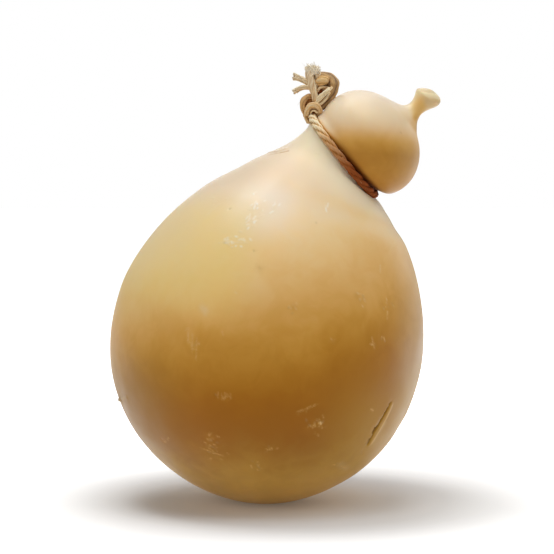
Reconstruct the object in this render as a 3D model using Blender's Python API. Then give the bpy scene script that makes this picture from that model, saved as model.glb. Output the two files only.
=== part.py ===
"""Caciocavallo: a pear-shaped stretched-curd cheese with a tied neck, a small
onion-shaped head that ends in a pulled nipple, and the twine round its neck.

Metres, +Z up. The origin is the centre of the small flat spot under the pear.
The cheese leans towards +X, and its centre line lies in the plane y = 0, so a
section is given by its x, z, radius, lean and nod. -Y is the front.
"""

from collections import namedtuple
from math import cos, pi, radians, sin

import bmesh
import bpy
from mathutils import Matrix, Vector
from mathutils.geometry import interpolate_bezier

# The pear. Its centre line bends a little, so its lean from the vertical towards
# +X is given at the bottom, where it has settled, at the belly and at the shoulder.
BOTTOM_LEAN = radians(0.15)
BELLY_LEAN = radians(21.6)
SHOULDER_LEAN = radians(18.2)
BELLY = Vector((0.00054, 0, 0.07615))  # centre of its widest section
BELLY_RADIUS = 0.0748
BOTTOM_DEPTH = 0.07734               # from the widest section down to the pole
BOTTOM_HANDLES = (0.0524, 0.0297)    # down from the belly, and out from the pole
SHOULDER_TOP = (0.0072, 0.0901)      # radius and height where the shoulder's curve would end
SHOULDER_HANDLES = (0.0392, (0.0422, 0.0878))
SHOULDER_CUT = 0.068                 # height above the belly where the throat takes over
POLE_RADIUS = 0.0006

# The neck and the twine round it. The neck nods: its front is lower than its back.
NECK = Vector((0.0375, 0, 0.1658))
NECK_LEAN = radians(51)
NECK_NOD = radians(4.5)
TWINE_RADIUS = 0.00195
RING_RADIUS = 0.02365                # the twine's centre line round the neck
GROOVE_CLEARANCE = 0.0005            # between the twine and the groove that it lies in
GROOVE_TURNS = (-70, -40, 0, 40, 70)  # degrees round the groove's arc

# The head: two half ellipsoids on one axis
HEAD_BASE = Vector((0.0394, 0, 0.1639))
HEAD_LEAN = radians(52)
HEAD_RADIUS = 0.0271
HEAD_WIDEST = 0.0130                 # from its base to its widest section
HEAD_BACK = 0.0211                   # half axis towards the neck
HEAD_FRONT = 0.0221                  # half axis towards the nipple
HEAD_TURNS = range(-24, 68, 7)       # degrees round the half ellipses, from neck to nipple
HEAD_LEVEL = 11                      # from this turn on the head no longer nods

# Sections that no formula gives: from the shoulder to the neck, and the nipple
Section = namedtuple("Section", "x z radius lean nod")
THROAT = (
    Section(0.0250, 0.1456, 0.0400, radians(21.3), radians(0)),
    Section(0.0270, 0.1495, 0.0363, radians(23.3), radians(0.1)),
    Section(0.0288, 0.1522, 0.0327, radians(25.3), radians(0.3)),
    Section(0.0303, 0.1546, 0.0296, radians(27.6), radians(0.7)),
    Section(0.0319, 0.1565, 0.0273, radians(30.5), radians(1.2)),
    Section(0.0335, 0.1582, 0.0253, radians(34.5), radians(1.9)),
    Section(0.0348, 0.1600, 0.0241, radians(38.9), radians(2.7)),
    Section(0.0356, 0.1613, 0.0234, radians(44.7), radians(3.6)),
    Section(0.0359, 0.1627, 0.0229, radians(49.1), radians(4.2)),
)
NIPPLE = (
    Section(0.0675, 0.1850, 0.0078, radians(51), 0),
    Section(0.0688, 0.1856, 0.0055, radians(50), 0),
    Section(0.0702, 0.1867, 0.0043, radians(49), 0),
    Section(0.0718, 0.1883, 0.0038, radians(49), 0),
    Section(0.0737, 0.1902, 0.0041, radians(50), 0),
    Section(0.0754, 0.1919, 0.0050, radians(48), 0),
    Section(0.0772, 0.1934, 0.0061, radians(46), 0),
    Section(0.0787, 0.1944, 0.0059, radians(43), 0),
    Section(0.0796, 0.1950, 0.0044, radians(43), 0),
    Section(0.0800, 0.1953, 0.0022, radians(43), 0),
)

# The flat spot that the cheese rests on, and the gash low on its front
FOOT_CUTTER_SIZE = 0.08
GASH_CENTRE = Vector((0.0544, -0.0354, 0.0375))
GASH_DIRECTION = Vector((-0.0115, 0.0043, -0.0206))
GASH_HALF_LENGTH = 0.0125
GASH_HALF_WIDTH = 0.0007
GASH_DEPTH = 0.0021
GASH_SIDES = 16
GASH_RINGS = 10

# The twine's tie, at the upper left end of the ring. Each route is the centre
# line of one stretch of twine, followed by its radius at each point.
ARCH = (  # the turn that grips the ring, seen as an arch in front of it
    ((0.0196, -0.0022, 0.1862), 0.0016),
    ((0.0203, -0.0032, 0.1888), 0.0017),
    ((0.0220, -0.0038, 0.1907), 0.0018),
    ((0.0243, -0.0036, 0.1908), 0.0018),
    ((0.0260, -0.0030, 0.1893), 0.0018),
    ((0.0264, -0.0018, 0.1870), 0.0017),
    ((0.0248, 0.0010, 0.1858), 0.0016),
    ((0.0222, 0.0024, 0.1862), 0.0016),
    ((0.0200, 0.0012, 0.1858), 0.0016),
)
SIDE_TURN = (  # the turn that stands out to the left of the arch
    ((0.0226, 0.0006, 0.1930), 0.0017),
    ((0.0202, -0.0004, 0.1937), 0.0016),
    ((0.0184, -0.0010, 0.1924), 0.0016),
    ((0.0178, -0.0012, 0.1903), 0.0015),
    ((0.0184, -0.0008, 0.1882), 0.0015),
    ((0.0197, -0.0002, 0.1862), 0.0016),
)
UNDER_TAIL = (
    ((0.0204, 0.0002, 0.1866), 0.0016),
    ((0.0203, 0.0000, 0.1846), 0.0017),
    ((0.0200, 0.0000, 0.1826), 0.0013),
)
STEM = (  # the cut end that stands up, frayed wide at its top
    ((0.0244, 0.0000, 0.1890), 0.0017),
    ((0.0238, -0.0014, 0.1932), 0.0017),
    ((0.0232, -0.0018, 0.1968), 0.0019),
    ((0.0226, -0.0018, 0.2008), 0.0022),
    ((0.0224, -0.0014, 0.2042), 0.0026),
    ((0.0227, -0.0010, 0.2066), 0.0032),
    ((0.0230, -0.0008, 0.2086), 0.0025),
)
LOOP = (  # the big loop over the head's shoulder
    ((0.0226, 0.0010, 0.2034), 0.0018),
    ((0.0252, 0.0012, 0.2046), 0.0019),
    ((0.0288, 0.0008, 0.2046), 0.0021),
    ((0.0317, 0.0004, 0.2030), 0.0022),
    ((0.0328, 0.0002, 0.2002), 0.0023),
    ((0.0325, 0.0006, 0.1971), 0.0022),
    ((0.0310, 0.0010, 0.1946), 0.0020),
    ((0.0289, 0.0012, 0.1924), 0.0018),
    ((0.0266, 0.0012, 0.1901), 0.0018),
    ((0.0244, 0.0008, 0.1880), 0.0017),
)
LUMP = (  # the hitch inside the loop
    ((0.0246, -0.0006, 0.2008), 0.0015),
    ((0.0264, -0.0010, 0.2015), 0.0021),
    ((0.0282, -0.0010, 0.2016), 0.0023),
    ((0.0300, -0.0006, 0.2011), 0.0018),
)
INNER_TURN = (
    ((0.0246, -0.0010, 0.1982), 0.0013),
    ((0.0264, -0.0014, 0.1990), 0.0013),
    ((0.0282, -0.0008, 0.1984), 0.0013),
    ((0.0296, 0.0004, 0.1980), 0.0013),
)
BACK_TURN = (  # the turn that closes the tie from behind
    ((0.0238, 0.0026, 0.2014), 0.0017),
    ((0.0258, 0.0032, 0.1992), 0.0018),
    ((0.0274, 0.0034, 0.1966), 0.0019),
    ((0.0278, 0.0032, 0.1940), 0.0018),
    ((0.0258, 0.0028, 0.1908), 0.0017),
)
CUT_STUB = (
    ((0.0248, -0.0022, 0.1912), 0.0014),
    ((0.0262, -0.0030, 0.1934), 0.0014),
    ((0.0288, -0.0034, 0.1954), 0.0014),
    ((0.0314, -0.0034, 0.1974), 0.0013),
)
UPPER_STRIP = (
    ((0.0226, -0.0012, 0.1990), 0.0010),
    ((0.0205, -0.0012, 0.2006), 0.0010),
    ((0.0180, -0.0008, 0.2019), 0.0009),
    ((0.0155, -0.0006, 0.2031), 0.0010),
    ((0.0136, -0.0006, 0.2036), 0.0014),
)
LOWER_STRIP = (
    ((0.0228, -0.0010, 0.1978), 0.0010),
    ((0.0204, -0.0014, 0.1984), 0.0009),
    ((0.0180, -0.0014, 0.1983), 0.0009),
    ((0.0156, -0.0012, 0.1972), 0.0009),
    ((0.0135, -0.0010, 0.1954), 0.0012),
)
TIE_ROUTES = {
    "side_turn": SIDE_TURN,
    "under_tail": UNDER_TAIL,
    "stem": STEM,
    "loop": LOOP,
    "lump": LUMP,
    "inner_turn": INNER_TURN,
    "back_turn": BACK_TURN,
    "cut_stub": CUT_STUB,
    "upper_strip": UPPER_STRIP,
    "lower_strip": LOWER_STRIP,
}
TIE_CLEARANCE = 0.0003               # kept between the tie and the cheese beside it

# How finely the surfaces are cut
CHEESE_SIDES = 48
BOTTOM_RINGS = 14
SHOULDER_RINGS = 18
RING_POINTS = 72
ROUTE_STEPS = 3                      # tube points for each step of a route
TWINE_BEVEL = 2                      # 8 sides

# Looks: colour, roughness, and the angle from which an edge stays sharp
RIND = ((0.53, 0.30, 0.09), 0.38, radians(35))
FIBRE = ((0.42, 0.27, 0.13), 0.85, radians(50))


def clear_scene():
    for obj in list(bpy.data.objects):
        bpy.data.objects.remove(obj, do_unlink=True)


def new_collection(name):
    collection = bpy.data.collections.new(name)
    bpy.context.scene.collection.children.link(collection)
    return collection


def new_material(name, colour, roughness):
    material = bpy.data.materials.new(name)
    material.use_nodes = True
    material.diffuse_color = (*colour, 1)
    shader = material.node_tree.nodes["Principled BSDF"]
    shader.inputs["Base Color"].default_value = (*colour, 1)
    shader.inputs["Roughness"].default_value = roughness
    shader.inputs["Metallic"].default_value = 0
    return material


def leaning(lean):
    """Unit vector along an axis that leans from +Z towards +X."""
    return Vector((sin(lean), 0, cos(lean)))


def section_at(centre, radius, lean, nod=0):
    return Section(centre.x, centre.z, radius, lean, nod)


def section_frame(lean, nod):
    """A section's directions: down its slope, and towards the back."""
    slope = Vector((cos(lean), 0, -sin(lean)))
    back = Vector((sin(lean) * sin(nod), cos(nod), cos(lean) * sin(nod)))
    return slope, back


def circle_points(centre, frame, radius, count):
    """Points round the circle, from its lowest side round past the back."""
    slope, back = frame
    turns = [2 * pi * step / count for step in range(count)]
    return [centre + (slope * cos(turn) + back * sin(turn)) * radius for turn in turns]


def half_outline(handle, end_handle, end, count):
    """(radius, height) points of one Bezier, from the belly to its end."""
    start = Vector((BELLY_RADIUS, 0))
    bend = Vector((BELLY_RADIUS, handle))
    return interpolate_bezier(start, bend, Vector(end_handle), Vector(end), count)


def body_sections():
    """The pear, from the pole under it up to where the throat takes over."""
    drop, spread = BOTTOM_HANDLES
    pole = (POLE_RADIUS, -BOTTOM_DEPTH)
    lower = half_outline(-drop, (spread, -BOTTOM_DEPTH), pole, BOTTOM_RINGS)
    rise, top_handle = SHOULDER_HANDLES
    upper = half_outline(rise, top_handle, SHOULDER_TOP, SHOULDER_RINGS)
    outline = lower[:0:-1] + [point for point in upper if point.y < SHOULDER_CUT]
    sections = []
    for radius, height in outline:
        below = max(0, -height / BOTTOM_DEPTH)
        above = max(0, height / SHOULDER_CUT)
        lean = BELLY_LEAN + (BOTTOM_LEAN - BELLY_LEAN) * below + (SHOULDER_LEAN - BELLY_LEAN) * above
        sections.append(section_at(BELLY + leaning(lean) * height, radius, lean))
    return sections


def groove_sections():
    """The neck under the twine: its outline is an arc round the twine."""
    arc = TWINE_RADIUS + GROOVE_CLEARANCE
    axis = leaning(NECK_LEAN)
    sections = []
    for turn in (radians(degrees) for degrees in GROOVE_TURNS):
        centre = NECK + axis * (arc * sin(turn))
        sections.append(section_at(centre, RING_RADIUS - arc * cos(turn), NECK_LEAN, NECK_NOD))
    return sections


def head_sections():
    """The onion-shaped head, from just above the twine to the nipple's root."""
    axis = leaning(HEAD_LEAN)
    sections = []
    for degrees in HEAD_TURNS:
        turn = radians(degrees)
        half_axis = HEAD_BACK if turn < 0 else HEAD_FRONT
        centre = HEAD_BASE + axis * (HEAD_WIDEST + half_axis * sin(turn))
        share = min(1, 1 - degrees / HEAD_TURNS.start)
        lean = NECK_LEAN + (HEAD_LEAN - NECK_LEAN) * share
        nod = NECK_NOD * max(0, (HEAD_LEVEL - degrees) / (HEAD_LEVEL - HEAD_TURNS.start))
        sections.append(section_at(centre, HEAD_RADIUS * cos(turn), lean, nod))
    return sections


def section_ring(section, clearance):
    centre = Vector((section.x, 0, section.z))
    frame = section_frame(section.lean, section.nod)
    return circle_points(centre, frame, section.radius + clearance, CHEESE_SIDES)


def lofted(name, sections, clearance=0):
    """A closed solid whose skin runs through the sections, each with its own lean."""
    bm = bmesh.new()
    rings = []
    for section in sections:
        rings.append([bm.verts.new(point) for point in section_ring(section, clearance)])
    for low, high in zip(rings, rings[1:]):
        for side in range(CHEESE_SIDES):
            after = (side + 1) % CHEESE_SIDES
            bm.faces.new((low[side], low[after], high[after], high[side]))
    bm.faces.new(rings[0])
    bm.faces.new(rings[-1])
    bmesh.ops.recalc_face_normals(bm, faces=bm.faces)
    mesh = bpy.data.meshes.new(name)
    bm.to_mesh(mesh)
    bm.free()
    return bpy.data.objects.new(name, mesh)


def shade_round(obj, sharp_from):
    obj.data.shade_smooth()
    obj.data.set_sharp_from_angle(angle=sharp_from)


def add_cutter(obj, cutters):
    cutters.objects.link(obj)
    obj.hide_render = True
    obj.display_type = "WIRE"


def foot_cutter(cutters):
    """A block whose top face is the plane that the cheese rests on."""
    bm = bmesh.new()
    bmesh.ops.create_cube(bm, size=FOOT_CUTTER_SIZE)
    mesh = bpy.data.meshes.new("foot_cutter")
    bm.to_mesh(mesh)
    bm.free()
    obj = bpy.data.objects.new("foot_cutter", mesh)
    obj.location = (0, 0, -FOOT_CUTTER_SIZE / 2)
    add_cutter(obj, cutters)
    return obj


def gash_cutter(cutters):
    """A thin lens that lies along the gash, edge on to the rind."""
    along = GASH_DIRECTION.normalized()
    outward = (GASH_CENTRE - BELLY).normalized()
    across = outward.cross(along).normalized()
    outward = along.cross(across)
    bm = bmesh.new()
    bmesh.ops.create_uvsphere(bm, u_segments=GASH_SIDES, v_segments=GASH_RINGS, radius=1)
    mesh = bpy.data.meshes.new("gash_cutter")
    bm.to_mesh(mesh)
    bm.free()
    obj = bpy.data.objects.new("gash_cutter", mesh)
    turned = Matrix((across, outward, along)).transposed().to_4x4()
    sizes = Matrix.Diagonal((GASH_HALF_WIDTH, GASH_DEPTH, GASH_HALF_LENGTH, 1))
    mesh.transform(Matrix.Translation(GASH_CENTRE) @ turned @ sizes)
    add_cutter(obj, cutters)
    return obj


def add_boolean(obj, name, operation, operand):
    modifier = obj.modifiers.new(name, "BOOLEAN")
    modifier.operation = operation
    if isinstance(operand, bpy.types.Collection):
        modifier.operand_type = "COLLECTION"
        modifier.collection = operand
    else:
        modifier.object = operand
    return modifier


def evaluated_mesh(obj):
    bpy.context.view_layer.update()
    graph = bpy.context.evaluated_depsgraph_get()
    return bpy.data.meshes.new_from_object(obj.evaluated_get(graph), depsgraph=graph)


def apply_modifiers(obj):
    mesh = evaluated_mesh(obj)
    obj.modifiers.clear()
    obj.data = mesh


def welded(mesh, distance=1e-6):
    bm = bmesh.new()
    bm.from_mesh(mesh)
    bmesh.ops.remove_doubles(bm, verts=bm.verts, dist=distance)
    bm.to_mesh(mesh)
    bm.free()


def smooth_route(route, cyclic=False):
    """Points and radii on a smooth curve through the route's own points."""
    stops = [Vector((*place, radius)) for place, radius in route]
    if cyclic:
        padded = [stops[-1]] + stops + stops[:2]
    else:
        padded = [stops[0] * 2 - stops[1]] + stops + [stops[-1] * 2 - stops[-2]]
    points = []
    for before, start, end, after in zip(padded, padded[1:], padded[2:], padded[3:]):
        for step in range(ROUTE_STEPS):
            t = step / ROUTE_STEPS
            bend = (end - before) * t + (2 * before - 5 * start + 4 * end - after) * t ** 2
            turn = (3 * start - before - 3 * end + after) * t ** 3
            points.append(start + (bend + turn) / 2)
    return points if cyclic else points + [stops[-1]]


def tube(name, points, cyclic, collection):
    """A round solid along the points, which are (x, y, z, radius)."""
    curve = bpy.data.curves.new(name, "CURVE")
    curve.dimensions = "3D"
    curve.bevel_depth = 1
    curve.bevel_resolution = TWINE_BEVEL
    curve.use_fill_caps = True
    spline = curve.splines.new("POLY")
    spline.points.add(len(points) - 1)
    for target, point in zip(spline.points, points):
        target.co = (point[0], point[1], point[2], 1)
        target.radius = point[3]
    spline.use_cyclic_u = cyclic
    guide = bpy.data.objects.new(name, curve)
    collection.objects.link(guide)
    mesh = evaluated_mesh(guide)
    welded(mesh)
    obj = bpy.data.objects.new(name, mesh)
    obj.matrix_world = guide.matrix_world
    bpy.data.objects.remove(guide)
    obj.name = name
    collection.objects.link(obj)
    return obj


def ring_points():
    """The twine's centre line round the neck."""
    circle = circle_points(NECK, section_frame(NECK_LEAN, NECK_NOD), RING_RADIUS, RING_POINTS)
    return [(*place, TWINE_RADIUS) for place in circle]


def join(obj, others):
    """One Boolean union of the object with a collection, whose objects then go."""
    add_boolean(obj, "join", "UNION", others)
    apply_modifiers(obj)
    for other in list(others.objects):
        bpy.data.objects.remove(other, do_unlink=True)


def build_cheese(parts, cutters, sections):
    cheese = lofted("cheese", sections)
    parts.objects.link(cheese)
    add_boolean(cheese, "flat spot", "DIFFERENCE", foot_cutter(cutters))
    add_boolean(cheese, "gash", "DIFFERENCE", gash_cutter(cutters))
    apply_modifiers(cheese)
    colour, roughness, sharp_from = RIND
    shade_round(cheese, sharp_from)
    cheese.data.materials.append(new_material("waxy_rind", colour, roughness))
    return cheese


def build_twine(parts, cutters, sections):
    """The tie is made first and trimmed to the cheese, then joined to the ring."""
    stretches = new_collection("stretches")
    tie = tube("tie", smooth_route(ARCH, cyclic=True), True, parts)
    for name, route in TIE_ROUTES.items():
        tube(name, smooth_route(route), False, stretches)
    join(tie, stretches)
    room = lofted("cheese_room", sections, TIE_CLEARANCE)
    add_cutter(room, cutters)
    add_boolean(tie, "room for the cheese", "DIFFERENCE", room)
    apply_modifiers(tie)
    stretches.objects.link(tie)
    parts.objects.unlink(tie)
    twine = tube("twine", ring_points(), True, parts)
    join(twine, stretches)
    bpy.data.collections.remove(stretches)
    colour, roughness, sharp_from = FIBRE
    shade_round(twine, sharp_from)
    twine.data.materials.append(new_material("twine_fibre", colour, roughness))
    return twine


def main():
    clear_scene()
    parts = new_collection("caciocavallo")
    cutters = new_collection("cutters")
    sections = [*body_sections(), *THROAT, *groove_sections(), *head_sections(), *NIPPLE]
    build_cheese(parts, cutters, sections)
    build_twine(parts, cutters, sections)


main()
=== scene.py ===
import random
from collections import namedtuple
from math import ceil, cos, pi, radians, sin, sqrt

import bmesh
import bpy
import numpy as np
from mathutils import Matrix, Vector
from mathutils.bvhtree import BVHTree
from mathutils.geometry import interpolate_bezier


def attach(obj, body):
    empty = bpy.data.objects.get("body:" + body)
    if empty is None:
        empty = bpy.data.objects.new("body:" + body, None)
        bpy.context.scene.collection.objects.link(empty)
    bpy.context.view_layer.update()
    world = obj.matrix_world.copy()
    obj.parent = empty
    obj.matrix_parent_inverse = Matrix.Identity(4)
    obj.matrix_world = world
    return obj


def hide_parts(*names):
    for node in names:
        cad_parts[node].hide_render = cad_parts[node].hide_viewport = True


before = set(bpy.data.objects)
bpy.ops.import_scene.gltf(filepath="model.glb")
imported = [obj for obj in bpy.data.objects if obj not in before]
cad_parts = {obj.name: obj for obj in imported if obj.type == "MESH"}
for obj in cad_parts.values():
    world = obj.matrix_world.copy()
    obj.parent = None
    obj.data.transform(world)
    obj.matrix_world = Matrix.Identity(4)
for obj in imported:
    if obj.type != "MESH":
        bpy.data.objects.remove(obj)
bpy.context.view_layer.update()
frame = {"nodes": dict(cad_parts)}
mm = 0.001
print("frame loaded:", ", ".join(frame["nodes"]))


# The photo's camera. Marks on the rind are placed by its pixels.
photo = {
    "side": 554,               # pixels, both ways
    "pixel": 0.479 * mm,       # what one pixel covers at the cheese
    "foot": (265, 502),        # the pixel that shows the part's origin
    "distance": 1.1,
    "elevation": radians(4),   # how far it looks down
    "sensor": 36,
}
halfSide = photo["side"] / 2
lineOfSight = Vector((0, cos(photo["elevation"]), -sin(photo["elevation"])))
upInPhoto = Vector((0, sin(photo["elevation"]), cos(photo["elevation"])))
aim = Vector((halfSide - photo["foot"][0], 0, photo["foot"][1] - halfSide)) * photo["pixel"]
eye = aim - lineOfSight * photo["distance"]


def addCamera():
    bpy.ops.object.camera_add(location=eye, rotation=(pi / 2 - photo["elevation"], 0, 0))
    camera = bpy.context.object
    camera.name = "photoCamera"
    camera.data.sensor_width = photo["sensor"]
    camera.data.lens = photo["sensor"] * photo["distance"] / (photo["side"] * photo["pixel"])
    camera.data.clip_start = 0.01
    camera.data.dof.use_dof = False
    bpy.context.scene.camera = camera


addCamera()
print("camera set")


# The studio: a pale floor that runs out to white, and soft square lamps in a ring round it.
# A lamp is its height in degrees, its turn from the front towards +X, its strength and its side.
studio = {
    "floorSize": (7.0, 7.0),
    "floorColour": (0.80, 0.80, 0.79),
    "floorFade": (0.05, 0.20),              # from here outwards the camera sees it go white
    "roomStrength": 0.13,
    "floorGlow": 0.06,                      # light that the wide white floor sends up
    "floorReflected": 0.90,                 # the floor as glossy surfaces mirror it
    "mirrorFade": (0.03, 0.10),             # metres from the middle over which that sets in
    "shadeOffset": 0.015,
    "roomReflected": 0.50,                  # the pale room as glossy surfaces mirror it
    "lampDistance": 1.0,
    "lampAim": (0.0, 0.0, 0.1),
    "lamps": {
        "backGlow": (20, 180, 0.20, 0.5),
        "overheadFront": (75, 0, 1.07, 0.5),
        "overheadLeft": (71, 243, 0.55, 0.30),
        "overheadBack": (75, 180, 0.35, 0.5),
        "highBack": (50, 180, 0.35, 0.5),
        "highRight": (50, 60, 0.38, 0.5),
        "highFront": (50, 0, 0.07, 0.5),
        "lowLeft": (20, 315, 0.40, 0.5),
        "lowBackRight": (20, 135, 0.24, 0.5),
        "lowRight": (20, 90, 0.20, 0.5),
        "lowFrontRight": (20, 45, 0.05, 0.5),
    },
}


def deselectAll():
    if bpy.context.object and bpy.context.object.mode != "OBJECT":
        bpy.ops.object.mode_set(mode="OBJECT")
    bpy.ops.object.select_all(action="DESELECT")


def activate(piece):
    deselectAll()
    piece.select_set(True)
    bpy.context.view_layer.objects.active = piece


def selectParts(piece, verts=None, edges=None, faces=None):
    # in edit mode: selects what the given test picks
    kind, test = ("VERT", verts) if verts else ("EDGE", edges) if edges else ("FACE", faces)
    bpy.ops.mesh.select_mode(type=kind)
    bpy.ops.mesh.select_all(action="DESELECT")
    edited = bmesh.from_edit_mesh(piece.data)
    chosen = {"VERT": edited.verts, "EDGE": edited.edges, "FACE": edited.faces}[kind]
    for part in chosen:
        part.select_set(test(part))
    edited.select_flush_mode()
    bmesh.update_edit_mesh(piece.data)


def applyModifier(piece, name, kind, **settings):
    modifier = piece.modifiers.new(name, kind)
    for key, value in settings.items():
        setattr(modifier, key, value)
    activate(piece)
    bpy.ops.object.modifier_apply(modifier=modifier.name)


def settleInPlace(piece):
    activate(piece)
    bpy.ops.object.transform_apply(location=True, rotation=True, scale=True)


def addNode(tree, kind, **values):
    node = tree.nodes.new(kind)
    for key, value in values.items():
        setattr(node, key, value)
    return node


def newGroup(name, inputs, outputs):
    tree = bpy.data.node_groups.new(name, "ShaderNodeTree")
    for socketName, kind, value in inputs:
        socket = tree.interface.new_socket(socketName, in_out="INPUT", socket_type=kind)
        if value is not None:
            socket.default_value = value
    for socketName, kind in outputs:
        tree.interface.new_socket(socketName, in_out="OUTPUT", socket_type=kind)
    return tree, addNode(tree, "NodeGroupInput"), addNode(tree, "NodeGroupOutput")


# soft patches of noise, as a mask from 0 to 1
def makePatches():
    tree, given, result = newGroup(
        "softPatches",
        [("Vector", "NodeSocketVector", None), ("Scale", "NodeSocketFloat", 30.0),
         ("Detail", "NodeSocketFloat", 3.0), ("Warp", "NodeSocketFloat", 0.4),
         ("Low", "NodeSocketFloat", 0.35), ("High", "NodeSocketFloat", 0.65)],
        [("Mask", "NodeSocketFloat")],
    )
    cloud = addNode(tree, "ShaderNodeTexNoise")
    spread = addNode(tree, "ShaderNodeMapRange", interpolation_type="SMOOTHSTEP")
    tree.links.new(given.outputs["Vector"], cloud.inputs["Vector"])
    tree.links.new(given.outputs["Scale"], cloud.inputs["Scale"])
    tree.links.new(given.outputs["Detail"], cloud.inputs["Detail"])
    tree.links.new(given.outputs["Warp"], cloud.inputs["Distortion"])
    tree.links.new(cloud.outputs["Fac"], spread.inputs["Value"])
    tree.links.new(given.outputs["Low"], spread.inputs["From Min"])
    tree.links.new(given.outputs["High"], spread.inputs["From Max"])
    tree.links.new(spread.outputs["Result"], result.inputs["Mask"])
    return tree


# fine relief, as a height from 0 to 1
def makeGrain():
    tree, given, result = newGroup(
        "fineGrain",
        [("Vector", "NodeSocketVector", None), ("Coarse", "NodeSocketFloat", 300.0),
         ("Fine", "NodeSocketFloat", 1200.0), ("Share", "NodeSocketFloat", 0.4)],
        [("Height", "NodeSocketFloat")],
    )
    coarse = addNode(tree, "ShaderNodeTexNoise")
    fine = addNode(tree, "ShaderNodeTexNoise")
    blend = addNode(tree, "ShaderNodeMix", data_type="FLOAT")
    for cloud, scale in ((coarse, "Coarse"), (fine, "Fine")):
        cloud.inputs["Detail"].default_value = 4
        tree.links.new(given.outputs["Vector"], cloud.inputs["Vector"])
        tree.links.new(given.outputs[scale], cloud.inputs["Scale"])
    tree.links.new(given.outputs["Share"], blend.inputs["Factor"])
    tree.links.new(coarse.outputs["Fac"], blend.inputs["A"])
    tree.links.new(fine.outputs["Fac"], blend.inputs["B"])
    tree.links.new(blend.outputs["Result"], result.inputs["Height"])
    return tree


softPatches = makePatches()
fineGrain = makeGrain()


class Finish:
    # one material, and short ways to wire it
    def __init__(self, name, **sockets):
        self.material = bpy.data.materials.new(name)
        self.material.use_nodes = True
        self.tree = self.material.node_tree
        self.shader = self.tree.nodes["Principled BSDF"]
        for socket, value in sockets.items():
            self.shader.inputs[socket.replace("_", " ")].default_value = value
        self.place = addNode(self.tree, "ShaderNodeTexCoord").outputs["Object"]

    def wire(self, source, target):
        self.tree.links.new(source, target)

    def patches(self, scale, low, high, detail=3.0, warp=0.4, vector=None):
        node = addNode(self.tree, "ShaderNodeGroup", node_tree=softPatches)
        self.wire(vector or self.place, node.inputs["Vector"])
        values = {"Scale": scale, "Low": low, "High": high, "Detail": detail, "Warp": warp}
        for socket, value in values.items():
            node.inputs[socket].default_value = value
        return node.outputs["Mask"]

    def grain(self, coarse, fine, share, vector=None):
        node = addNode(self.tree, "ShaderNodeGroup", node_tree=fineGrain)
        self.wire(vector or self.place, node.inputs["Vector"])
        for socket, value in {"Coarse": coarse, "Fine": fine, "Share": share}.items():
            node.inputs[socket].default_value = value
        return node.outputs["Height"]

    def attribute(self, name):
        return addNode(self.tree, "ShaderNodeAttribute", attribute_name=name).outputs["Fac"]

    def sum(self, first, second, operation="ADD"):
        node = addNode(self.tree, "ShaderNodeMath", operation=operation)
        for socket, value in zip(node.inputs, (first, second)):
            if isinstance(value, (int, float)):
                socket.default_value = value
            else:
                self.wire(value, socket)
        return node.outputs[0]

    def tint(self, mask, below, above, strength=1.0, blend="MIX"):
        # below where the mask is 0, above where it is 1
        node = addNode(self.tree, "ShaderNodeMix", data_type="RGBA", blend_type=blend)
        self.wire(self.sum(mask, strength, "MULTIPLY"), node.inputs["Factor"])
        for socket, colour in zip((node.inputs[6], node.inputs[7]), (below, above)):
            if isinstance(colour, tuple):
                socket.default_value = (*colour, 1)
            else:
                self.wire(colour, socket)
        return node.outputs[2]

    def ranged(self, value, fromLow, fromHigh, toLow, toHigh):
        node = addNode(self.tree, "ShaderNodeMapRange")
        self.wire(value, node.inputs["Value"])
        for socket, number in zip(list(node.inputs)[1:5], (fromLow, fromHigh, toLow, toHigh)):
            socket.default_value = number
        return node.outputs["Result"]

    def bump(self, height, distance, strength=1.0, under=None):
        node = addNode(self.tree, "ShaderNodeBump")
        node.inputs["Distance"].default_value = distance
        node.inputs["Strength"].default_value = strength
        self.wire(height, node.inputs["Height"])
        if under:
            self.wire(under, node.inputs["Normal"])
        return node.outputs["Normal"]


def floorFinish():
    finish = Finish("palePaper", Roughness=0.9)
    colour = studio["floorColour"]
    shade = tuple(value * 0.985 for value in colour)
    patches = finish.patches(3.0, 0.3, 0.7)
    finish.wire(finish.tint(patches, shade, colour), finish.shader.inputs["Base Color"])
    relief = finish.grain(400, 1500, 0.5)
    finish.wire(finish.bump(relief, 0.1 * mm, 0.3), finish.shader.inputs["Normal"])
    # the far floor is white to the camera and in reflections, like a lit sweep of paper
    away = addNode(finish.tree, "ShaderNodeVectorMath", operation="DISTANCE")
    finish.wire(finish.place, away.inputs[0])
    away.inputs[1].default_value = (studio["shadeOffset"], 0, 0)
    fades = []
    for near, far in (studio["floorFade"], studio["mirrorFade"]):
        fade = addNode(finish.tree, "ShaderNodeMapRange", interpolation_type="SMOOTHSTEP")
        finish.wire(away.outputs["Value"], fade.inputs["Value"])
        fade.inputs["From Min"].default_value, fade.inputs["From Max"].default_value = near, far
        fades.append(fade.outputs["Result"])
    path = addNode(finish.tree, "ShaderNodeLightPath")
    seen = finish.sum(fades[0], path.outputs["Is Camera Ray"], "MULTIPLY")
    mirrored = finish.sum(fades[1], path.outputs["Is Glossy Ray"], "MULTIPLY")
    mirrored = finish.sum(mirrored, studio["floorReflected"], "MULTIPLY")
    lit = finish.sum(finish.sum(seen, mirrored, "MAXIMUM"), studio["floorGlow"], "MAXIMUM")
    finish.wire(finish.tint(lit, (0, 0, 0), (1, 1, 1)), finish.shader.inputs["Emission Color"])
    finish.shader.inputs["Emission Strength"].default_value = 1
    finish.material.cycles.emission_sampling = "NONE"
    return finish.material


def addFloor():
    deselectAll()
    bpy.ops.mesh.primitive_plane_add(size=1)
    floor = bpy.context.object
    floor.name = "paleFloor"
    floor.scale = (*studio["floorSize"], 1)
    settleInPlace(floor)
    floor.data.materials.append(floorFinish())


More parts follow.
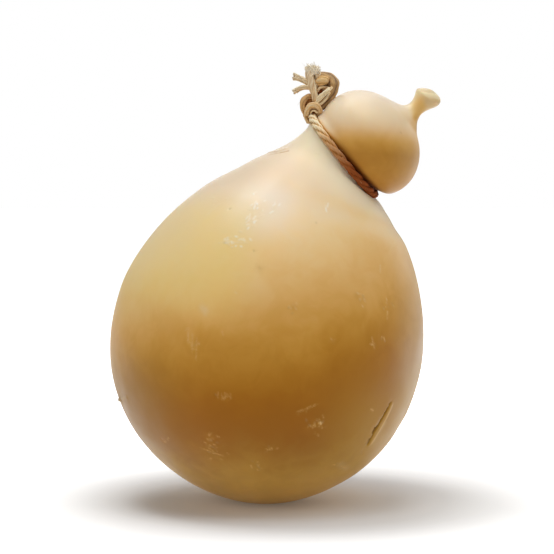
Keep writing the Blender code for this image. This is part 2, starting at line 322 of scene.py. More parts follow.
def addLamps():
    towards = Vector(studio["lampAim"])
    for name, (height, turn, strength, side) in studio["lamps"].items():
        height, turn = radians(height), radians(turn)
        away = Vector((sin(turn) * cos(height), -cos(turn) * cos(height), sin(height)))
        bpy.ops.object.light_add(type="AREA", location=towards + away * studio["lampDistance"],
                                 rotation=away.to_track_quat("Z", "Y").to_euler())
        lamp = bpy.context.object
        lamp.name = name
        lamp.data.shape = "SQUARE"
        lamp.data.size = side
        lamp.data.energy = pi * strength
        lamp.visible_camera = False


def addRoom():
    # the room is dim, but white where the camera sees it
    world = bpy.data.worlds.new("paleRoom")
    world.use_nodes = True
    tree = world.node_tree
    path = addNode(tree, "ShaderNodeLightPath")
    strength = None
    for ray, value in (("Is Glossy Ray", studio["roomReflected"]), ("Is Camera Ray", 1.0)):
        chosen = addNode(tree, "ShaderNodeMapRange")
        chosen.inputs["To Min"].default_value = studio["roomStrength"]
        chosen.inputs["To Max"].default_value = value
        tree.links.new(path.outputs[ray], chosen.inputs["Value"])
        if strength:
            tree.links.new(strength, chosen.inputs["To Min"])
        strength = chosen.outputs["Result"]
    tree.links.new(strength, tree.nodes["Background"].inputs["Strength"])
    tree.nodes["Background"].inputs["Color"].default_value = (1, 1, 1, 1)
    bpy.context.scene.world = world
    bpy.context.scene.view_settings.view_transform = "Standard"


addFloor()
addLamps()
addRoom()
print("studio built")


# The cheese. Each section is a circle round the centre line in the plane y = 0.
# It leans from the vertical towards +X, and its front nods down by the nod.
Section = namedtuple("Section", "x z radius lean nod")
cheese = {
    "belly": (0.54, 76.15),                 # x and z of the widest section, mm
    "bellyRadius": 74.8,
    "leans": {"bottom": 0.15, "belly": 21.6, "shoulder": 18.2},   # degrees
    "bottomDepth": 77.34,
    "bottomHandles": (52.4, 29.7),
    "shoulderTop": (7.2, 90.1),
    "shoulderHandles": (39.2, (42.2, 87.8)),
    "shoulderCut": 68.0,
    "poleRadius": 0.6,
    "throat": ((25, 145.6, 40, 21.3, 0), (27, 149.5, 36.3, 23.3, 0.1), (28.8, 152.2, 32.7, 25.3, 0.3),
               (30.3, 154.6, 29.6, 27.6, 0.7), (31.9, 156.5, 27.3, 30.5, 1.2), (33.5, 158.2, 25.3, 34.5, 1.9),
               (34.8, 160, 24.1, 38.9, 2.7), (35.6, 161.3, 23.4, 44.7, 3.6), (35.9, 162.7, 22.9, 49.1, 4.2)),
    "neck": (37.5, 165.8),
    "neckLean": 51.0,
    "neckNod": 4.5,
    "ringRadius": 23.65,                    # the twine's centre line
    "grooveRadius": 2.45,                   # the groove's arc round the twine
    "grooveTurns": (-70, -40, 0, 40, 70),
    "headBase": (39.4, 163.9),
    "headLean": 52.0,
    "headRadius": 27.1,
    "headWidest": 13.0,
    "headHalfAxes": (21.1, 22.1),           # towards the neck, towards the nipple
    "headTurns": range(-24, 68, 7),
    "headLevel": 11,                        # from this turn on the head no longer nods
    "nipple": ((67.5, 185, 7.8, 51), (68.8, 185.6, 5.5, 50), (70.2, 186.7, 4.3, 49),
               (71.8, 188.3, 3.7, 49), (73.5, 190, 4.1, 50), (75.1, 191.8, 5.1, 47),
               (76.5, 193.1, 6.1, 44), (77.2, 193.6, 6.3, 43), (78.9, 194.3, 5.8, 41),
               (80.4, 194.9, 4.5, 42), (81.4, 195.4, 2.5, 43)),
    "sides": 48,
    "bottomRings": 14,
    "shoulderRings": 18,
    "smoothing": 2,
    "smoothingLoss": 1.005,                 # smoothing draws the rings in by this much
    # pulls on the coarse form: photo pixel, shift in pixels, reach in mm
    "pulls": (((405, 415), (1.0, 0.6), 9.0), ((390, 439), (0.8, 0.8), 9.0),
              ((399, 428), (-1.0, -0.8), 9.0)),
    "unevenness": ((45.0, 0.7), (14.0, 0.18)),  # size of the swells and their height, mm
}


def leaning(lean):
    return Vector((sin(lean), 0, cos(lean)))


def sectionAt(centre, radius, lean, nod=0.0):
    return Section(centre.x, centre.z, radius * cheese["smoothingLoss"], lean, nod)


def halfOutline(handle, endHandle, end, count):
    start = Vector((cheese["bellyRadius"], 0))
    bend = Vector((cheese["bellyRadius"], handle))
    return interpolate_bezier(start, bend, Vector(endHandle), Vector(end), count)


def bodySections():
    depth = cheese["bottomDepth"]
    drop, spread = cheese["bottomHandles"]
    pole = (cheese["poleRadius"], -depth)
    lower = halfOutline(-drop, (spread, -depth), pole, cheese["bottomRings"])
    rise, topHandle = cheese["shoulderHandles"]
    upper = halfOutline(rise, topHandle, cheese["shoulderTop"], cheese["shoulderRings"])
    cut = cheese["shoulderCut"]
    outline = lower[:0:-1] + [point for point in upper if point.y < cut]
    belly = Vector((cheese["belly"][0], 0, cheese["belly"][1]))
    bottom, middle, shoulder = (radians(lean) for lean in cheese["leans"].values())
    sections = []
    for radius, height in outline:
        below, above = max(0, -height / depth), max(0, height / cut)
        lean = middle + (bottom - middle) * below + (shoulder - middle) * above
        sections.append(sectionAt(belly + leaning(lean) * height, radius, lean))
    return sections


def neckSections():
    lean, nod = radians(cheese["neckLean"]), radians(cheese["neckNod"])
    neck = Vector((cheese["neck"][0], 0, cheese["neck"][1]))
    arc = cheese["grooveRadius"]
    sections = [Section(x, z, radius, radians(tilt), radians(dip)) for x, z, radius, tilt, dip in cheese["throat"]]
    for turn in (radians(angle) for angle in cheese["grooveTurns"]):
        centre = neck + leaning(lean) * (arc * sin(turn))
        sections.append(Section(centre.x, centre.z, cheese["ringRadius"] - arc * cos(turn), lean, nod))
    return sections


def headSections():
    neckLean, headLean = radians(cheese["neckLean"]), radians(cheese["headLean"])
    base = Vector((cheese["headBase"][0], 0, cheese["headBase"][1]))
    first, level = cheese["headTurns"].start, cheese["headLevel"]
    sections = []
    for angle in cheese["headTurns"]:
        turn = radians(angle)
        halfAxis = cheese["headHalfAxes"][0 if turn < 0 else 1]
        centre = base + leaning(headLean) * (cheese["headWidest"] + halfAxis * sin(turn))
        lean = neckLean + (headLean - neckLean) * min(1, 1 - angle / first)
        nod = radians(cheese["neckNod"]) * max(0, (level - angle) / (level - first))
        sections.append(sectionAt(centre, cheese["headRadius"] * cos(turn), lean, nod))
    for x, z, radius, angle in cheese["nipple"]:
        sections.append(Section(x, z, radius, radians(angle), 0))
    return sections


def pullRing(last, section):
    # extrudes the selected ring to the next section, then turns and sizes it there
    centre = Vector((section.x, 0, section.z)) * mm
    step = centre - Vector((last.x, 0, last.z)) * mm
    bpy.ops.mesh.extrude_region_move(TRANSFORM_OT_translate={"value": step})
    # level first, then nodded, then leant; with no window this operator turns the other way
    for axis, turn in (("Y", -last.lean), ("X", section.nod - last.nod), ("Y", section.lean)):
        bpy.ops.transform.rotate(value=-turn, orient_axis=axis, center_override=centre)
    size = section.radius / last.radius
    bpy.ops.transform.resize(value=(size, size, size), center_override=centre)


def sightline(pixel):
    # the unit direction in which the camera sees this pixel of the photo
    across, down = (place - halfSide for place in pixel)
    target = aim + (Vector((across, 0, 0)) - upInPhoto * down) * photo["pixel"]
    return (target - eye).normalized()


def pullForm(piece, pixel, shift, reach):
    # moves the point seen at the pixel, and what is around it, by so many pixels
    direction = sightline(pixel)

    def offSight(place):
        along = (place - eye).dot(direction)
        return (place - eye - direction * along).length + 0.05 * along

    grabbed = min(piece.data.vertices, key=lambda vert: offSight(vert.co)).index
    activate(piece)
    bpy.ops.object.mode_set(mode="EDIT")
    selectParts(piece, verts=lambda vert: vert.index == grabbed)
    move = (Vector((shift[0], 0, 0)) - upInPhoto * shift[1]) * photo["pixel"]
    bpy.ops.transform.translate(value=move, use_proportional_edit=True,
                                proportional_edit_falloff="SMOOTH", proportional_size=reach * mm)
    bpy.ops.object.mode_set(mode="OBJECT")


def addCheese():
    sections = bodySections() + neckSections() + headSections()
    first = sections[0]
    deselectAll()
    bpy.ops.mesh.primitive_circle_add(
        vertices=cheese["sides"], radius=first.radius * mm,
        location=(first.x * mm, 0, first.z * mm), rotation=(0, first.lean, 0))
    piece = bpy.context.object
    piece.name = "caciocavalloRind"
    settleInPlace(piece)
    bpy.ops.object.mode_set(mode="EDIT")
    bpy.ops.mesh.select_all(action="SELECT")
    for last, section in zip(sections, sections[1:]):
        pullRing(last, section)
    bpy.ops.mesh.extrude_region_move()
    bpy.ops.mesh.merge(type="CENTER")
    low = first.z * mm + 0.01 * mm
    selectParts(piece, verts=lambda vert: vert.co.z < low)
    bpy.ops.mesh.extrude_region_move()
    bpy.ops.mesh.merge(type="CENTER")
    bpy.ops.mesh.select_all(action="SELECT")
    bpy.ops.mesh.normals_make_consistent(inside=False)
    bpy.ops.object.mode_set(mode="OBJECT")
    for pixel, shift, reach in cheese["pulls"]:
        pullForm(piece, pixel, shift, reach)
    levels = cheese["smoothing"]
    applyModifier(piece, "smooth", "SUBSURF", levels=levels, render_levels=levels)
    bpy.ops.object.shade_smooth()
    return piece


def placesOf(piece):
    places = np.empty(len(piece.data.vertices) * 3, np.float32)
    piece.data.vertices.foreach_get("co", places)
    return places.reshape(-1, 3)


def paint(piece, name, values):
    attribute = piece.data.attributes.new(name, "FLOAT", "POINT")
    attribute.data.foreach_set("value", np.asarray(values, np.float32))


def smoothStep(value, start, end):
    share = np.clip((value - start) / (end - start), 0, 1)
    return share * share * (3 - 2 * share)


def ringFrame():
    # the ring's directions: down its slope, towards the back, and along the neck
    lean, nod = radians(cheese["neckLean"]), radians(cheese["neckNod"])
    slope = np.array((cos(lean), 0, -sin(lean)))
    back = np.array((sin(lean) * sin(nod), cos(nod), cos(lean) * sin(nod)))
    return slope, back, np.cross(slope, back)


def fromRing(places):
    # distance from the twine's centre line round the neck, and how far towards the head
    axis = ringFrame()[2]
    offset = places - np.array((cheese["neck"][0], 0, cheese["neck"][1])) * mm
    along = offset @ axis
    across = np.linalg.norm(offset - along[:, None] * axis, axis=1)
    return np.hypot(along, across - cheese["ringRadius"] * mm), along


def pushOut(piece, name, weights, distance, texture=None):
    # moves the surface outwards by the distance times each point's weight
    group = piece.vertex_groups.new(name=name)
    for index in np.flatnonzero(weights > 0.01):
        group.add([int(index)], float(weights[index]), "REPLACE")
    settings = {"vertex_group": name, "strength": distance * mm, "mid_level": 0.0}
    if texture:
        settings.update(texture=texture, texture_coords="LOCAL", mid_level=0.5)
    applyModifier(piece, name, "DISPLACE", **settings)
    piece.vertex_groups.remove(piece.vertex_groups[name])


def makeUneven(piece):
    places = placesOf(piece)
    free = smoothStep(fromRing(places)[0], 3 * mm, 14 * mm) * smoothStep(places[:, 2], 0, 8 * mm)
    for size, height in cheese["unevenness"]:
        swells = bpy.data.textures.new("swells", "CLOUDS")
        swells.noise_scale = size * mm
        pushOut(piece, "swells", free, height, swells)


def flattenFoot(piece):
    activate(piece)
    bpy.ops.object.mode_set(mode="EDIT")
    selectParts(piece, verts=lambda vert: vert.co.z < 0)
    bpy.ops.transform.resize(value=(1, 1, 0), center_override=(0, 0, 0))
    bpy.ops.object.mode_set(mode="OBJECT")


rind = addCheese()
# painted light: the throat is painted pale right up to the twine, against the shade of the twine and the head,
# whichever way the groove turns it
fromTwine, towardsHead = fromRing(placesOf(rind))
# painted shading: the rind's colour follows how far the surface faces up, and the left side is painted as if it
# faced up more, being lit more
leftward = -np.array([vert.normal.x for vert in rind.data.vertices])
facing = np.array([vert.normal.z for vert in rind.data.vertices]) + 0.08 * leftward
throat = smoothStep(fromTwine, 24 * mm, 4 * mm) * smoothStep(towardsHead, 1 * mm, -1 * mm)
facing += (np.maximum(facing, 0.72) - facing) * throat
# painted light: the thin nipple is painted lighter, with a painted glow on its front, as if light came through it
places = placesOf(rind)
nipple = smoothStep(places[:, 0], 67 * mm, 71 * mm) * smoothStep(places[:, 2], 183 * mm, 187 * mm)
lit = smoothStep(facing, -0.2, 0.4)
facing += (0.22 + 0.04 * lit) * nipple
paint(rind, "nipple", nipple * (0.7 + 0.3 * lit))
paintedGlow = Vector((73, -4, 188)) * mm
fromGlow = np.linalg.norm((places - np.array(paintedGlow)) / (1.0, 1.2, 1.8), axis=1)
paint(rind, "paintedGlow", smoothStep(fromGlow, 5 * mm, 1.5 * mm))
paint(rind, "paintedThroatLight", throat)
# painted shading: the head's underside is painted less dark than the body's
onHead = smoothStep(towardsHead, 0, 4 * mm)
paint(rind, "facingUp", facing + (0.75 * np.maximum(facing, -0.18) + 0.10 - facing) * onHead)
paint(rind, "onHead", onHead)
# painted shading: the lower left side is dulled towards olive
paint(rind, "olive", smoothStep(leftward, 0.35, 0.95) * smoothStep(facing, 0.25, -0.2))
# painted shading: the upper left of the shoulder, half turned up, is painted more golden
belowNeck = smoothStep(places[:, 2], 156 * mm, 138 * mm)
paint(rind, "golden", smoothStep(leftward, -0.02, 0.3) * smoothStep(facing, 0.15, 0.5) * belowNeck)
makeUneven(rind)
# a painted highlight lies on the head's top, and on the shoulder where it shines
shine = Vector((-3, -44, 142)) * mm
fromShine = np.linalg.norm((placesOf(rind) - np.array(shine)) / (1.0, 1.0, 1.5), axis=1)
paintedHighlight = np.maximum(0.9 * smoothStep(facing, 0.05, 0.5) * onHead, 1.2 * smoothStep(fromShine, 22 * mm, 5 * mm))
paint(rind, "paintedHighlight", paintedHighlight)
# painted shade: the surfaces that face straight up are painted darker
paint(rind, "paintedTopShade", smoothStep(facing, 0.82, 1.0))
print("cheese shaped:", len(rind.data.polygons), "faces")


# Marks on the rind. A stroke is its strength and the photo's pixels that it runs through.
marks = {
    "gash": {"push": -1.8, "halfWidth": 0.34, "strokes": (
        (0.6, (391, 402), (387, 409.5)), (1.0, (388.5, 407), (384.5, 414), (379, 424), (375.5, 430)),
        (0.6, (377, 427.5), (373, 434.5), (367.4, 445.3)))},
    "lip": {"push": 0.22, "halfWidth": 0.9, "strokes": (
        (1.0, (392.4, 403.5), (387.2, 415.5), (382.4, 424.5), (376.6, 434.5), (370, 445)),)},
    "crease": {"push": -0.28, "halfWidth": 0.5, "strokes": (
        (0.5, (267, 155.5), (277, 153.6), (281, 152.6)), (1.0, (279, 153), (284, 152), (288.6, 150.9)),
        (0.35, (362.5, 450), (363, 454.5)))},
    "ledge": {"push": 0.3, "halfWidth": 0.9, "strokes": (
        (1.0, (268, 153), (278, 151.2), (287.2, 148.2)),)},
    "chip": {"push": 1.2, "halfWidth": 0.95, "strokes": (
        (1.0, (119.9, 399.6), (121.2, 399.2)), (0.3, (121, 399), (127, 397.6)),
        (0.2, (406, 413), (404.5, 416)), (0.2, (390.3, 437.5), (388.5, 440.5)))},
    "scrapes": {"push": 0.12, "halfWidth": 0.42, "strokes": (
        (0.9, (253.7, 193), (253.9, 195)), (0.9, (256.6, 203), (257.6, 205)),
        (0.8, (247, 228), (250, 225)), (0.8, (252, 222.5), (253.6, 220.5)),
        (0.6, (258, 217.5), (264, 215)), (0.7, (269.5, 213.5), (273.5, 211)),
        (0.6, (276, 207), (279.4, 202.6)), (0.5, (209, 198), (216, 192), (223.6, 187)),
        (0.5, (208, 215), (214, 209), (220, 203.7)), (0.5, (218, 243), (232, 242.5), (248, 243)),
        (0.8, (223, 241.5), (226.5, 242)), (0.7, (229, 238), (231.5, 236.5)),
        (0.5, (331, 194), (333, 196)), (0.3, (316, 153), (321, 154.5)),
        (0.5, (188.5, 328), (188, 343)), (0.45, (192.5, 334), (192, 352)),
        (0.4, (197, 338), (196, 360)), (0.5, (234.5, 291), (237, 293.5)),
        (0.35, (222, 331), (223, 335.5)), (0.8, (356.8, 292.5), (359, 294)),
        (0.8, (364, 299), (365.6, 301.5)), (0.7, (361.8, 304.5), (363, 307)),
        (0.8, (386, 298), (387, 300.5)), (0.7, (387.4, 311), (387, 320)),
        (0.8, (383.6, 336.5), (384, 339.5)), (0.6, (371.7, 337), (373, 343), (374.6, 349)),
        (0.6, (380.3, 264.6), (380, 272.6)), (0.6, (330.5, 338), (332.5, 340)),
        (0.5, (289, 306), (291, 308.5)), (0.7, (298.6, 411.6), (307, 408.5), (315.9, 404.5)),
        (1.0, (318.5, 423), (321.5, 424.5)), (0.6, (317, 434), (319, 436)),
        (0.6, (370.5, 409), (373.5, 410.5)), (0.9, (207, 439), (211, 440.5)),
        (0.8, (216.5, 436), (219.5, 436.8)), (0.6, (200.7, 447.7), (212, 452), (223.7, 455.8)),
        (0.5, (227, 453), (229.5, 454)), (0.5, (220.5, 458.8), (222.5, 459.6)),
        (0.6, (265.5, 449.2), (271, 448.6)), (0.4, (218, 392), (218, 398)),
        (0.4, (222, 393.5), (222, 400)), (0.4, (226.5, 392.5), (226.5, 397)),
        (0.4, (230.6, 393), (230.6, 399)), (0.6, (341, 466), (346, 467.5)))},
    # pale flecks, and painted glints where the shoulder shines
    "flecksAndGlints": {"push": 0.05, "halfWidth": 0.42, "strokes": (
        (1.0, (253.7, 193), (253.9, 195)), (1.0, (256.6, 203), (257.6, 205)),
        (0.8, (269.5, 213.5), (273.5, 211)), (0.9, (320, 422), (321, 424)))},
    "pits": {"push": -0.25, "halfWidth": 0.50, "strokes": (
        (0.9, (253.7, 250.8), (253.7, 251.5)), (0.6, (316.2, 222), (316.2, 223.5)),
        (0.8, (257, 464.6), (257, 465.4)), (0.7, (252.4, 461.1), (252.4, 461.9)),
        (0.7, (259.3, 470.3), (259.3, 471.1)), (0.5, (164.6, 441.6), (165.6, 442.4)),
        (0.5, (400.4, 132.5), (401.2, 133.3)), (0.4, (259, 267.5), (260, 269)))},
    "smudges": {"push": 0.04, "halfWidth": 1.8, "strokes": (
        (0.7, (203, 307.5), (205, 311.5)), (0.6, (314, 211), (316, 214)),
        (0.4, (262, 201), (272, 206), (279, 212)), (0.3, (340, 464), (347, 469)))},
    "bruises": {"push": -0.05, "halfWidth": 1.6, "strokes": (
        (0.6, (306, 429), (309.5, 431)), (0.5, (192.5, 444.5), (195, 446.5)),
        (0.5, (356, 143), (361, 146)), (0.4, (258, 267), (261, 269.5)))},
}
scatter = {
    "seed": 11,
    "count": 90,                            # strokes on the sides and the back
    "length": (1.0, 9.0),
    "kinds": ("scrapes", "scrapes", "scrapes", "pits", "smudges", "bruises"),
    "strength": (0.3, 0.9),
    "beyond": 0.25,                         # only where the surface turns this far from the front
    # scuffed spots on the front: photo pixel, radius in pixels, count of strokes, way they run
    "scuffed": (((320, 423), 6, 18, 70), ((312, 425), 6, 9, 50), ((211, 441), 8, 16, 15),
                ((214, 451), 9, 12, 22), ((362, 299), 5, 12, 60), ((387, 305), 7, 10, 85),
                ((384, 338), 4, 8, 60), ((373, 344), 4, 9, 75), ((228, 242), 7, 6, 0),
                ((192, 342), 7, 9, 95), ((225, 396), 8, 9, 90), ((215, 200), 14, 8, 140),
                ((257, 465), 7, 9, 40), ((270, 452), 6, 7, 10), ((340, 466), 6, 7, 20),
                ((165, 442), 5, 6, 60), ((292, 308), 5, 6, 45)),
    # spots in the shining area, where flecks are painted glints
    "shining": (((252, 222), 8, 16, 130), ((258, 209), 9, 18, 120), ((275, 206), 7, 8, 130),
                ((238, 240), 10, 12, 10), ((228, 240), 5, 8, 0), ((325, 206), 5, 5, 80)),
    "scuffedKinds": ("scrapes", "scrapes", "scrapes", "pits", "bruises"),
    "shiningKinds": ("flecksAndGlints", "flecksAndGlints", "scrapes"),
    "scuffedHalf": (0.25, 1.6),             # half the length of such a stroke, in pixels
    "shiningHalf": (0.5, 2.4),
}
strokeStep = 0.4 * mm
fineCuts = 3


def onRind(sight, pixel):
    direction = sightline(pixel)
    place = sight.ray_cast(eye, direction)[0]
    if place is None:
        along = (Vector((0, 0, cheese["belly"][1] * mm)) - eye).dot(direction)
        place = sight.find_nearest(eye + direction * along)[0]
    return place


def alongStroke(corners, sight):
    # points on the rind along the stroke, each with its share of the stroke's depth
    points = []
    for start, end in zip(corners, corners[1:]):
        steps = max(2, ceil((end - start).length / strokeStep))
        points += [sight.find_nearest(start.lerp(end, step / steps))[0] for step in range(steps)]
    points.append(corners[-1])
    share = np.linspace(0, 1, len(points))
    fade = np.clip(4.5 * np.sqrt(share * (1 - share)), 0.35, 1)
    return np.column_stack((np.array(points), fade))


def scatteredStrokes(piece, sight):
    # short strokes at random on the sides and the back
    draw = random.Random(scatter["seed"])
    verts = piece.data.vertices
    strokes = []
    while len(strokes) < scatter["count"]:
        vert = verts[draw.randrange(len(verts))]
        kind = draw.choice(scatter["kinds"])
        turn = draw.uniform(0, pi)
        length = draw.uniform(*scatter["length"]) * draw.random() * mm
        strength = draw.uniform(*scatter["strength"])
        if vert.normal.y < scatter["beyond"] or vert.co.z < 12 * mm:
            continue
        level = vert.normal.cross(Vector((0, 0, 1))).normalized()
        direction = level * cos(turn) + vert.normal.cross(level) * sin(turn)
        bend = vert.normal.cross(direction) * length * draw.uniform(-0.15, 0.15)
        corners = [vert.co - direction * length / 2, vert.co + bend, vert.co + direction * length / 2]
        corners = [sight.find_nearest(corner)[0] for corner in corners]
        strokes.append((kind, strength, alongStroke(corners, sight)))
    return strokes


def scuffedSpots(sight):
    # many tiny strokes that make up each scuffed spot on the front
    draw = random.Random(scatter["seed"] + 1)
    strokes = []
    spots = [(spot, scatter[kind + "Kinds"], scatter[kind + "Half"])
             for kind in ("scuffed", "shining") for spot in scatter[kind]]
    for ((across, down), radius, count, way), kinds, halves in spots:
        for stroke in range(count):
            turn = radians(way + draw.gauss(0, 22))
            half = draw.uniform(*halves)
            middle = (across + draw.gauss(0, 0.45) * radius, down + draw.gauss(0, 0.45) * radius)
            ends = [(middle[0] + cos(turn) * half * side, middle[1] + sin(turn) * half * side)
                    for side in (-1, 1)]
            corners = [onRind(sight, pixel) for pixel in ends]
            kind = draw.choice(kinds)
            strokes.append((kind, draw.uniform(0.3, 0.9), alongStroke(corners, sight)))
    return strokes


def gatherStrokes(piece):
    sight = BVHTree.FromPolygons([vert.co for vert in piece.data.vertices],
                                 [face.vertices[:] for face in piece.data.polygons])
    gathered = {kind: [] for kind in marks}
    for kind, mark in marks.items():
        for strength, *pixels in mark["strokes"]:
            corners = [onRind(sight, pixel) for pixel in pixels]
            gathered[kind].append((strength, alongStroke(corners, sight)))
    for kind, strength, points in scatteredStrokes(piece, sight) + scuffedSpots(sight):
        gathered[kind].append((strength, points))
    return gathered


def nearStrokes(places, strokes, halfWidth):
    # 1 on a stroke, times its strength, down to 0 at about twice its half width
    weights = np.zeros(len(places), np.float32)
    reach = 2.2 * halfWidth
    for strength, points in strokes:
        low, high = points[:, :3].min(0) - reach, points[:, :3].max(0) + reach
        inside = np.flatnonzero(((places > low) & (places < high)).all(1))
        gaps = places[inside, None, :] - points[None, :, :3]
        falls = np.exp(-(gaps ** 2).sum(2) / halfWidth ** 2) * points[None, :, 3] * strength
        weights[inside] = np.maximum(weights[inside], falls.max(1))
    return np.where(weights > 0.02, weights, 0)


def cutFiner(piece, strokes):
    # gives the rind near the marks small enough faces to carry them
    centres = np.empty(len(piece.data.polygons) * 3, np.float32)
    piece.data.polygons.foreach_get("center", centres)
    centres = centres.reshape(-1, 3)
    near = np.zeros(len(centres), bool)
    for kind, kindStrokes in strokes.items():
        if marks[kind]["halfWidth"] > 1.5:    # wide soft marks need no finer faces
            continue
        reach = (1.3 * marks[kind]["halfWidth"] + 0.75) * mm
        full = [(1.0, np.column_stack((points[:, :3], np.ones(len(points))))) for strength, points in kindStrokes]
        near |= nearStrokes(centres, full, reach) > 0.36
    near = near.tolist()
    activate(piece)
    bpy.ops.object.mode_set(mode="EDIT")
    selectParts(piece, faces=lambda face: near[face.index])
    bpy.ops.mesh.subdivide(number_cuts=fineCuts, smoothness=1.0)
    bpy.ops.object.mode_set(mode="OBJECT")


def addMarks(piece):
    strokes = gatherStrokes(piece)
    cutFiner(piece, strokes)
    for kind, mark in marks.items():
        weights = nearStrokes(placesOf(piece), strokes[kind], mark["halfWidth"] * mm)
        paint(piece, kind, weights)
        pushOut(piece, kind, weights, mark["push"])


addMarks(rind)
flattenFoot(rind)
places = placesOf(rind)
fromTwine, towardsHead = fromRing(places)
# painted shadow in the crease under the head, beside the twine
underHead = smoothStep(places[:, 2], 180 * mm, 160 * mm) * smoothStep(towardsHead, -0.5 * mm, 1 * mm)
paint(rind, "paintedCreaseShadow", smoothStep(fromTwine, 5.5 * mm, 2.4 * mm) * underHead)
onHead = smoothStep(towardsHead, 0, 4 * mm)
# painted light on the right side, half as much on the head
paint(rind, "thin", smoothStep(places[:, 0], 55 * mm, 76 * mm) * (1 - 0.5 * onHead))
strawy = smoothStep(places[:, 0], 15 * mm, 50 * mm) * smoothStep(places[:, 2], 80 * mm, 40 * mm)
strawy *= smoothStep(places[:, 2], 10 * mm, 32 * mm) * smoothStep(places[:, 1], 20 * mm, -20 * mm)
paint(rind, "strawy", strawy)
print("rind marked:", len(rind.data.polygons), "faces")

rindLook = {
    # painted light and shade: the rind's colour at each facing, pale on top, darkest low on the front and lighter
    # again underneath
    "paintedShades": (  # how far the surface faces up, and the rind's colour there
        (-1.00, (0.930, 0.560, 0.120)),
        (-0.70, (0.515, 0.270, 0.042)),
        (-0.50, (0.315, 0.110, 0.006)),
        (-0.30, (0.345, 0.116, 0.004)),
        (-0.15, (0.400, 0.145, 0.006)),
        (0.00, (0.547, 0.243, 0.022)),
        (0.15, (0.739, 0.378, 0.070)),
        (0.30, (0.873, 0.518, 0.174)),
        (0.45, (0.921, 0.635, 0.285)),
        (0.60, (0.921, 0.701, 0.395)),
        (0.80, (0.860, 0.696, 0.510)),
        (1.00, (0.820, 0.660, 0.480)),
    ),
    "pale": (0.88, 0.74, 0.50),
    "paintedHighlight": (0.82, 0.80, 0.76),
    "paintedThroatLight": (1.0, 0.90, 0.66),
    # painted light on the nipple, and its painted glow
    "nipple": (1.0, 0.85, 0.52),
    "paintedGlow": (0.90, 0.52, 0.10),
    "golden": (0.93, 0.69, 0.20),
    "cream": (1.0, 0.80, 0.42),
    "olive": (0.16, 0.20, 0.02),
    "paintedTopShade": (0.60, 0.46, 0.26),
    "flake": (0.92, 0.60, 0.20),
    "fleck": (1.0, 0.98, 0.92),
    "lowFleck": (1.0, 0.74, 0.36),
    "speck": (0.44, 0.31, 0.15),
    "slitShade": (0.09, 0.030, 0.004),
    "paintedCreaseShadow": (0.16, 0.030, 0.004),
    "thin": (0.80, 0.64, 0.37),
    "strawy": (0.64, 0.40, 0.05),
    "amber": (0.50, 0.20, 0.02),
}


